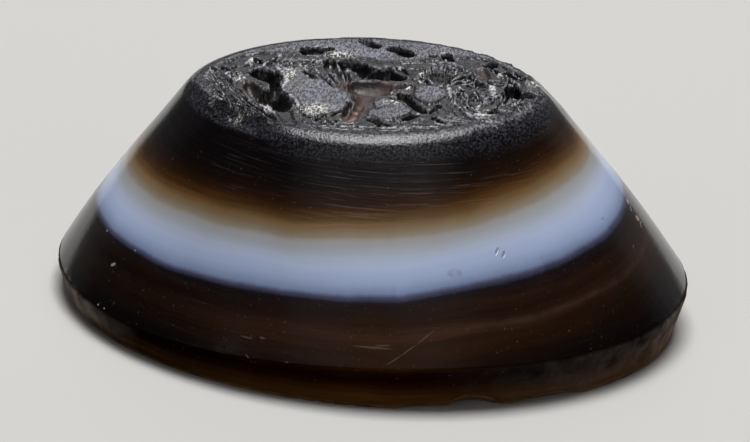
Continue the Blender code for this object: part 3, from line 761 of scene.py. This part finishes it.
stone_mesh = bpy.data.meshes.new("engraved_stone")
stone_mesh.from_pydata((stone_points * MM).tolist(), [], stone_faces)
stone_mesh.shade_smooth()
surface_values = {
    "layer": layer_height,
    "cut_depth": cut_depth,
    "cut_across": cut_across,
    "cut_along": cut_along,
    "rim_highlight_mask": rim_highlight_mask,
    "from_middle": from_middle,
    "wear": wear,
    "worn_corner": worn_corner,
    "painted_glint_spots": painted_glint_spots,
    "stain_and_glow": stain_and_glow,
    "residue": residue,
    "painted_glow": painted_glow,
    "bevel_scuff_and_sheen": bevel_scuff_and_sheen,
}
for title, numbers in surface_values.items():
    stone_mesh.attributes.new(title, "FLOAT", "POINT").data.foreach_set("value", numbers.astype(np.float32))
engraved_stone = bpy.data.objects.new("engraved_stone", stone_mesh)
bpy.context.scene.collection.objects.link(engraved_stone)

# The colours of the layers as the eye sees them, from the dark foot over the white band to the black top
LIGHT_ON_STONE = 0.57
LAYER_COLOURS = (
    (0.0, (78, 56, 28)), (0.45, (66, 45, 20)), (0.9, (50, 29, 11)), (1.25, (26, 10, 1)),
    (1.6, (10, 1, 0)), (1.85, (14, 4, 1)), (2.1, (24, 11, 3)), (2.5, (31, 15, 4)),
    (2.8, (35, 19, 9)), (3.1, (26, 12, 4)), (3.4, (22, 11, 6)), (3.62, (18, 13, 17)),
    (3.75, (56, 58, 78)), (3.85, (94, 105, 130)), (4.0, (111, 123, 149)), (4.2, (126, 138, 164)),
    (4.5, (137, 147, 170)), (4.7, (136, 143, 159)), (4.9, (128, 131, 137)), (5.1, (122, 121, 120)),
    (5.2, (110, 102, 90)), (5.4, (97, 80, 58)), (5.6, (74, 53, 28)), (5.8, (48, 28, 8)),
    (6.0, (30, 14, 3)), (6.2, (20, 8, 2)), (6.5, (9, 4, 3)), (7.0, (4, 2, 3)),
)
LOWEST_LAYER, HIGHEST_LAYER = LAYER_COLOURS[0][0], LAYER_COLOURS[-1][0]


def seen_colour(colour):
    """A colour as seen, from 0 to 255, turned into the stone's own colour under the studio light."""
    parts = [part / 255.0 for part in colour]
    linear = [((part + 0.055) / 1.055) ** 2.4 if part > 0.04 else part / 12.92 for part in parts]
    return (*[part / LIGHT_ON_STONE for part in linear], 1.0)


def add_node(tree, kind, inputs, **settings):
    """Adds a shader node with its settings, and links or sets its inputs."""
    node = tree.nodes.new(kind)
    for title, value in settings.items():
        setattr(node, title, value)
    for title, value in inputs.items():
        if isinstance(value, bpy.types.NodeSocket):
            tree.links.new(value, node.inputs[title])
        else:
            node.inputs[title].default_value = value
    return node


# The look of the agate, shared by its polished skin and its duller ground bevel
agate_look = bpy.data.node_groups.new("agate_look", "ShaderNodeTree")
agate_look.interface.new_socket(name="Place", in_out="INPUT", socket_type="NodeSocketVector")
for title in surface_values:
    agate_look.interface.new_socket(name=title, in_out="INPUT", socket_type="NodeSocketFloat")
agate_look.interface.new_socket(name="Colour", in_out="OUTPUT", socket_type="NodeSocketColor")
for title in ("Roughness", "Height"):
    agate_look.interface.new_socket(name=title, in_out="OUTPUT", socket_type="NodeSocketFloat")
given = agate_look.nodes.new("NodeGroupInput").outputs
result = agate_look.nodes.new("NodeGroupOutput").inputs


def scaled(vector, factors):
    node = add_node(agate_look, "ShaderNodeVectorMath", {0: vector, 1: factors}, operation="MULTIPLY")
    return node.outputs["Vector"]


def joined(x, y, z):
    return add_node(agate_look, "ShaderNodeCombineXYZ", {"X": x, "Y": y, "Z": z}).outputs["Vector"]


def grain(vector, scale, detail=2.0, sharpness=0.5):
    inputs = {"Vector": vector, "Scale": scale, "Detail": detail, "Roughness": sharpness}
    return add_node(agate_look, "ShaderNodeTexNoise", inputs).outputs["Fac"]


def between(value, low, high, least=0.0, most=1.0):
    """Turns a value from low to high into one from least to most, and keeps it there."""
    inputs = {"Value": value, "From Min": low, "From Max": high, "To Min": least, "To Max": most}
    return add_node(agate_look, "ShaderNodeMapRange", inputs).outputs["Result"]


def patchy(scale, detail, low, high, least=0.0, most=1.0, sharpness=0.5):
    """Grain over the whole stone, from least where it is below low to most where it is above high."""
    return between(grain(place, scale, detail, sharpness), low, high, least, most)


def cells(vector):
    """A random value in each small cell, from 0 to 1 and mostly near the middle."""
    return add_node(agate_look, "ShaderNodeTexVoronoi", {"Vector": vector, "Scale": 1.0}).outputs["Color"]


def maths(kind, first, second):
    return add_node(agate_look, "ShaderNodeMath", {0: first, 1: second}, operation=kind).outputs["Value"]


def all_together(kind, parts):
    total = parts[0]
    for part in parts[1:]:
        total = maths(kind, total, part)
    return total


def times(*parts):
    return all_together("MULTIPLY", parts)


def plus(*parts):
    return all_together("ADD", parts)


def most_of(*parts):
    return all_together("MAXIMUM", parts)


def mixed(share, first, second, kind="MIX"):
    inputs = {0: share, 6: first, 7: second}
    return add_node(agate_look, "ShaderNodeMix", inputs, data_type="RGBA", blend_type=kind).outputs[2]


def mark(centre, reach, turn=0.0):
    """A small soft-edged mark on the stone, in millimetres, turned as seen from the front, in degrees."""
    inputs = {"Vector": place, "Location": centre, "Rotation": (0.0, math.radians(turn), 0.0), "Scale": reach}
    mapped = add_node(agate_look, "ShaderNodeMapping", inputs, vector_type="TEXTURE").outputs["Vector"]
    far = add_node(agate_look, "ShaderNodeVectorMath", {0: mapped}, operation="LENGTH").outputs["Value"]
    return between(far, 1.0, 0.6)


def marks(*places):
    return most_of(*[mark(*values) for values in places])


place = given["Place"]
layer, from_middle, wear = given["layer"], given["from_middle"], given["wear"]
tooled = between(given["cut_depth"], 0.004, 0.03)
on_side = between(from_middle, 1.9, 2.1)

# The layers waver a little, and fine bands lie within them
waver = patchy(0.45, 2.0, 0.0, 1.0, -0.09, 0.09)
fine_waver = patchy(5.0, 2.0, 0.0, 1.0, -0.02, 0.02)
wavy_layer = plus(layer, waver, fine_waver)
ramp = agate_look.nodes.new("ShaderNodeValToRGB")
agate_look.links.new(between(wavy_layer, LOWEST_LAYER, HIGHEST_LAYER), ramp.inputs["Fac"])
stops = ramp.color_ramp.elements
stops.remove(stops[1])
for step, (height, colour) in enumerate(LAYER_COLOURS):
    share = (height - LOWEST_LAYER) / (HIGHEST_LAYER - LOWEST_LAYER)
    stop = stops[0] if step == 0 else stops.new(share)
    stop.position = share
    stop.color = seen_colour(colour)


def bands_within(tightness, aside, detail, least, most):
    """Bands that run with the layers, lighter and darker."""
    level = add_node(
        agate_look,
        "ShaderNodeVectorMath",
        {0: scaled(place, (0.22, 0.22, 0.0)), 1: joined(aside, 0.0, times(wavy_layer, tightness))},
        operation="ADD",
    ).outputs["Vector"]
    return between(grain(level, 1.0, detail, 0.6), 0.32, 0.68, least, most)


dark_layers = most_of(between(layer, 3.75, 3.55), between(layer, 5.3, 5.9))
bands = times(bands_within(3.5, 0.0, 4.0, 0.68, 1.35), bands_within(11.0, 7.0, 2.0, 0.85, 1.18))
banding = plus(times(maths("SUBTRACT", bands, 1.0), between(dark_layers, 0.0, 1.0, 0.06, 1.0)), 1.0)
# The painted glow of light through the stone scales the bands
banding = times(banding, given["painted_glow"])
colour = mixed(1.0, ramp.outputs["Color"], joined(banding, banding, banding), "MULTIPLY")

# A fine pale line in the dark layers at the right
AGATE_LINE_AT = 2.82
agate_line = between(maths("ABSOLUTE", maths("SUBTRACT", wavy_layer, AGATE_LINE_AT), 0.0), 0.1, 0.0)
agate_line = times(agate_line, mark((9.0, -5.0, 3.0), (8.0, 8.0, 4.0)), patchy(0.8, 2.0, 0.3, 0.6), 0.032)

# Fine level scratches of polishing on the sides, painted brightest as glints where the front sheen falls,
# light specks, and marks made by knocks
scratch_lines_and_glints = between(grain(scaled(place, (0.45, 0.45, 19.0)), 1.0, 3.0, 0.65), 0.55, 0.78)
scratched_patches_and_sheen = most_of(patchy(0.55, 1.0, 0.4, 0.6, 0.0, 0.5), mark((1.2, -5.6, 5.8), (4.6, 4.0, 2.4)))
scratch_lines_and_glints = times(scratch_lines_and_glints, scratched_patches_and_sheen, on_side, between(layer, 4.4, 5.6, 0.05, 0.2))
specks = times(patchy(9.0, 1.0, 0.7, 0.8), on_side, 0.1)
pale_marks = marks(
    ((-8.86, -2.37, 2.85), (0.05, 0.06, 0.04)),
    ((-7.83, -3.9, 2.89), (0.04, 0.06, 0.03)),
    ((-8.53, -3.72, 2.24), (0.13, 0.16, 0.04), -35.0),
    ((-8.91, -4.45, 1.09), (0.05, 0.06, 0.03)),
    ((-8.69, -4.73, 1.1), (0.04, 0.06, 0.03)),
    ((8.29, 0.01, 4.38), (0.12, 0.2, 0.05), 60.0),
    ((8.66, -0.3, 3.92), (0.14, 0.2, 0.05), 50.0),
    ((-8.54, 0.9, 4.34), (0.15, 0.4, 0.06), 40.0),
)
long_scratches = marks(
    ((-3.39, -7.75, 1.86), (0.12, 0.2, 0.04)),
    ((-3.83, -8.02, 1.3), (0.1, 0.2, 0.03), 30.0),
    ((0.19, -8.22, 2.05), (0.7, 0.3, 0.035)),
    ((0.5, -8.25, 2.12), (0.3, 0.3, 0.03), -4.0),
    ((-3.9, -7.6, 1.78), (0.25, 0.3, 0.03)),
    ((0.9, -8.45, 1.76), (0.33, 0.4, 0.025), -31.0),
    ((1.35, -8.2, 2.04), (0.36, 0.4, 0.025), -33.0),
    ((1.86, -7.86, 2.38), (0.44, 0.5, 0.025), -35.0),
)
pits = marks(
    ((3.98, -5.29, 4.5), (0.06, 0.2, 0.17), 25.0),
    ((4.2, -5.28, 4.4), (0.07, 0.2, 0.15), 25.0),
    ((7.43, -2.1, 4.57), (0.06, 0.08, 0.05)),
    ((8.45, -0.12, 4.2), (0.08, 0.2, 0.14), 40.0),
    ((8.8, -0.34, 3.72), (0.07, 0.2, 0.1), 30.0),
    ((8.55, -1.85, 3.54), (0.04, 0.1, 0.1)),
)
smudge = times(mark((2.66, -6.2, 3.99), (0.3, 0.4, 0.16), 10.0), patchy(4.0, 2.0, 0.3, 0.7))

# Speckle on the worn flats and ground, partly matt wear and partly painted glitter; matt speckle on the worn
# corner; a painted sparkling highlight on the shoulder and a painted sheen below it; painted highlights on
# the rims; and painted glints on the listed spots
on_flats = times(between(from_middle, 1.15, 1.0), maths("SUBTRACT", 1.0, tooled))
on_flats = times(on_flats, between(given["worn_corner"], 0.3, 0.0))
# Speckle on the flats, partly matt wear and partly painted glitter
flat_speckle_and_glitter = between(cells(scaled(place, (22.0, 9.0, 9.0))), 0.3, 0.7)
shoulder_speckle = times(patchy(8.0, 2.0, 0.56, 0.68, sharpness=0.7), given["worn_corner"], 0.14)
# A painted sparkling highlight on the worn shoulder
painted_shoulder_sparkle = between(cells(scaled(place, (14.0, 9.0, 14.0))), 0.45, 0.75)
painted_shoulder_sparkle = times(painted_shoulder_sparkle, between(wear, 0.35, 1.0), 0.42)
ground_speckle_and_glitter = times(flat_speckle_and_glitter, tooled, between(given["cut_depth"], 0.15, 0.1), 0.1)
flat_speckle_and_glitter = times(flat_speckle_and_glitter, patchy(1.1, 2.0, 0.3, 0.65, 0.5, 1.0), on_flats, 0.62)
# Painted highlights along the rims of the cuts
rim_highlights = times(given["rim_highlight_mask"], patchy(7.0, 2.0, 0.42, 0.62), between(from_middle, 1.1, 0.98), 0.7)
# A painted sheen fading below the shoulder's highlight
painted_sheen_below_shoulder = times(patchy(11.0, 4.0, 0.45, 0.7, sharpness=0.75), between(wear, 0.05, 0.15), 0.19)
scuffs_and_sheen = most_of(flat_speckle_and_glitter, ground_speckle_and_glitter, shoulder_speckle, painted_shoulder_sparkle, painted_sheen_below_shoulder)
# Painted glints on the listed spots
painted_glints = plus(cells(scaled(place, (20.0, 14.0, 14.0))), times(given["painted_glint_spots"], 0.12))
painted_glints = times(between(painted_glints, 0.66, 0.76), maths("MINIMUM", given["painted_glint_spots"], 1.0), 0.75)

# Stain in the cuts, partly a painted glow, and residue, and a paler lower edge, and ends of the bevel scuffed
# paler and painted with a grey sheen
stained_and_glowing = times(given["stain_and_glow"], patchy(5.0, 3.0, 0.3, 0.65, 0.35, 1.0, sharpness=0.6))
crusted = times(given["residue"], patchy(5.0, 2.0, 0.42, 0.56, 0.0, 0.75))
lower_edge = times(between(from_middle, 4.06, 4.16), patchy(1.5, 2.0, 0.3, 0.6), 0.6)
# The ends of the bevel scuffed paler and painted with a grey sheen
pale_ends_and_sheen = times(given["bevel_scuff_and_sheen"], patchy(1.4, 4.0, 0.35, 0.65, 0.25, 1.0, sharpness=0.6), 0.35)

# All of these lie over the layers, each in its own colour as seen, the last on top
for share, over_colour in (
    (agate_line, (150, 138, 132)),
    (scratch_lines_and_glints, (120, 108, 104)),
    (specks, (130, 116, 112)),
    (times(pale_marks, 0.5), (150, 140, 135)),
    (times(long_scratches, 0.08), (150, 140, 135)),
    (times(most_of(pits, smudge), 0.4), (50, 48, 56)),
    # Painted glitter, sparkle and sheen, with the matt speckle of wear
    (scuffs_and_sheen, (128, 129, 142)),
    (rim_highlights, (178, 178, 184)),
    (painted_glints, (206, 202, 190)),
    (stained_and_glowing, (72, 56, 52)),
    (crusted, (150, 118, 100)),
    (lower_edge, (120, 92, 62)),
    (pale_ends_and_sheen, (128, 118, 112)),
):
    colour = mixed(share, colour, seen_colour(over_colour))

# Grain on the flats, strokes along each cut, pitting on the worn shoulder, and relief of scratches and pits
flat_grain = times(grain(scaled(place, (8.0, 3.5, 3.5)), 1.0, 2.0, 0.6), between(from_middle, 1.6, 1.0), 0.02)
cut_place = joined(times(given["cut_across"], 13.0), times(given["cut_along"], 2.2), 0.0)
cut_strokes = times(grain(cut_place, 1.0, 2.0, 0.6), tooled, 0.01)
cut_grain = times(grain(place, 8.0, 2.0, 0.6), tooled, 0.02)
pitting = times(grain(place, 9.0, 3.0, 0.6), wear, 0.032)
side_scratches = times(grain(scaled(place, (0.4, 0.4, 16.0)), 1.0, 3.0, 0.6), on_side)
side_scratches = times(side_scratches, between(layer, 4.4, 5.6, 0.0022, 0.005))
relief = plus(flat_grain, cut_strokes, cut_grain, pitting, side_scratches, times(pits, -0.012))
roughness = plus(between(from_middle, 1.0, 1.9, 0.2, 0.16), times(scuffs_and_sheen, 0.2), times(given["stain_and_glow"], 0.6))
agate_look.links.new(colour, result["Colour"])
agate_look.links.new(roughness, result["Roughness"])
agate_look.links.new(relief, result["Height"])

# Light bends in agate by this index
AGATE_IOR = 1.54


def agate_finish(name, shine):
    """A finish of the agate, with the strength of its shine."""
    finish = bpy.data.materials.new(name)
    finish.use_nodes = True
    tree = finish.node_tree
    inputs = {}
    for title in surface_values:
        inputs[title] = add_node(tree, "ShaderNodeAttribute", {}, attribute_name=title).outputs["Fac"]
    on_stone = add_node(tree, "ShaderNodeTexCoord", {}).outputs["Object"]
    in_mm = add_node(tree, "ShaderNodeVectorMath", {0: on_stone, 1: (1.0 / MM,) * 3}, operation="MULTIPLY")
    inputs["Place"] = in_mm.outputs["Vector"]
    look = add_node(tree, "ShaderNodeGroup", inputs, node_tree=agate_look)
    relief_in = {"Height": look.outputs["Height"], "Distance": MM, "Strength": 1.0}
    bump = add_node(tree, "ShaderNodeBump", relief_in)
    shader = tree.nodes["Principled BSDF"]
    shader.inputs["IOR"].default_value = AGATE_IOR
    shader.inputs["Specular IOR Level"].default_value = shine
    tree.links.new(look.outputs["Colour"], shader.inputs["Base Color"])
    tree.links.new(look.outputs["Roughness"], shader.inputs["Roughness"])
    tree.links.new(bump.outputs["Normal"], shader.inputs["Normal"])
    return finish


stone_mesh.materials.append(agate_finish("banded_agate", 0.5))
stone_mesh.materials.append(agate_finish("banded_agate_bevel", 0.0))
bevel_starts_at = (FACE_SQUARES[0] + FACE_SQUARES[1]) * 2 * (SHOULDER_RINGS + SIDE_RINGS - 1)
bevel_starts_at += FACE_SQUARES[0] * FACE_SQUARES[1]
on_bevel = (np.arange(len(stone_faces)) >= bevel_starts_at).astype(np.int32)
stone_mesh.polygons.foreach_set("material_index", on_bevel)

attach(engraved_stone, "root")
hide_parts("intaglio_gem")


# The floor
# A plain pale board, wide enough to reach past the picture from any side, just under the stone's flat base.
FLOOR_SIZE = 600.0
FLOOR_GAP = 0.02
half = FLOOR_SIZE / 2.0
corners = [(-half, -half), (half, -half), (half, half), (-half, half)]
floor_mesh = bpy.data.meshes.new("floor")
floor_mesh.from_pydata([(x * MM, y * MM, -FLOOR_GAP * MM) for x, y in corners], [], [(0, 1, 2, 3)])
floor = bpy.data.objects.new("floor", floor_mesh)
bpy.context.scene.collection.objects.link(floor)
board = bpy.data.materials.new("pale_board")
board.use_nodes = True
board.node_tree.nodes["Principled BSDF"].inputs["Base Color"].default_value = (0.62, 0.61, 0.59, 1.0)
board.node_tree.nodes["Principled BSDF"].inputs["Roughness"].default_value = 0.9
floor_mesh.materials.append(board)


# The studio light
# Soft boxes stand round the stone. One hangs overhead and a little behind, for the shine on the shoulder, and
# one stands low behind, for the grey sheen of the polished face.
def soft_box(name, azimuth, elevation, distance, width, height, strength, layers=1):
    """A soft light at an azimuth from the front towards +X and an elevation, in degrees.

    With several layers it fades from its middle to its edges.
    """
    turn, rise = math.radians(azimuth), math.radians(elevation)
    away = Vector((math.sin(turn) * math.cos(rise), -math.cos(turn) * math.cos(rise), math.sin(rise)))
    for layer_number in range(layers):
        share = (layer_number + 1) / layers
        light = bpy.data.lights.new(name, "AREA")
        light.shape = "RECTANGLE"
        light.size, light.size_y = width * share * MM, height * share * MM
        fading = math.sin(math.pi * (share - 0.5 / layers))
        layer_strength = strength * fading * math.sin(math.pi / (2.0 * layers))
        light.energy = layer_strength * math.pi * light.size * light.size_y
        box = bpy.data.objects.new(name, light)
        box.location = away * distance * MM
        box.rotation_euler = away.to_track_quat("Z", "Y").to_euler()
        bpy.context.scene.collection.objects.link(box)


soft_box("overhead", 180.0, 84.0, 500.0, 260.0, 330.0, 9.5)
soft_box("overhead_wide", 180.0, 84.0, 510.0, 440.0, 560.0, 1.8, 12)
soft_box("low_behind", 180.0, 32.0, 500.0, 340.0, 180.0, 0.95)
soft_box("front_top", 0.0, 56.0, 600.0, 620.0, 480.0, 0.8, 14)
soft_box("front_left", -38.0, 26.0, 600.0, 300.0, 260.0, 0.7)
soft_box("front_right", 38.0, 26.0, 600.0, 300.0, 260.0, 0.7)
soft_box("side_left", -142.0, 18.0, 500.0, 560.0, 440.0, 0.3, 8)
soft_box("side_right", 148.0, 18.0, 500.0, 560.0, 440.0, 0.6, 8)
world = bpy.data.worlds.new("dim_studio")
world.use_nodes = True
world.node_tree.nodes["Background"].inputs["Color"].default_value = (0.025, 0.025, 0.028, 1.0)
bpy.context.scene.world = world
bpy.context.scene.view_settings.view_transform = "Standard"
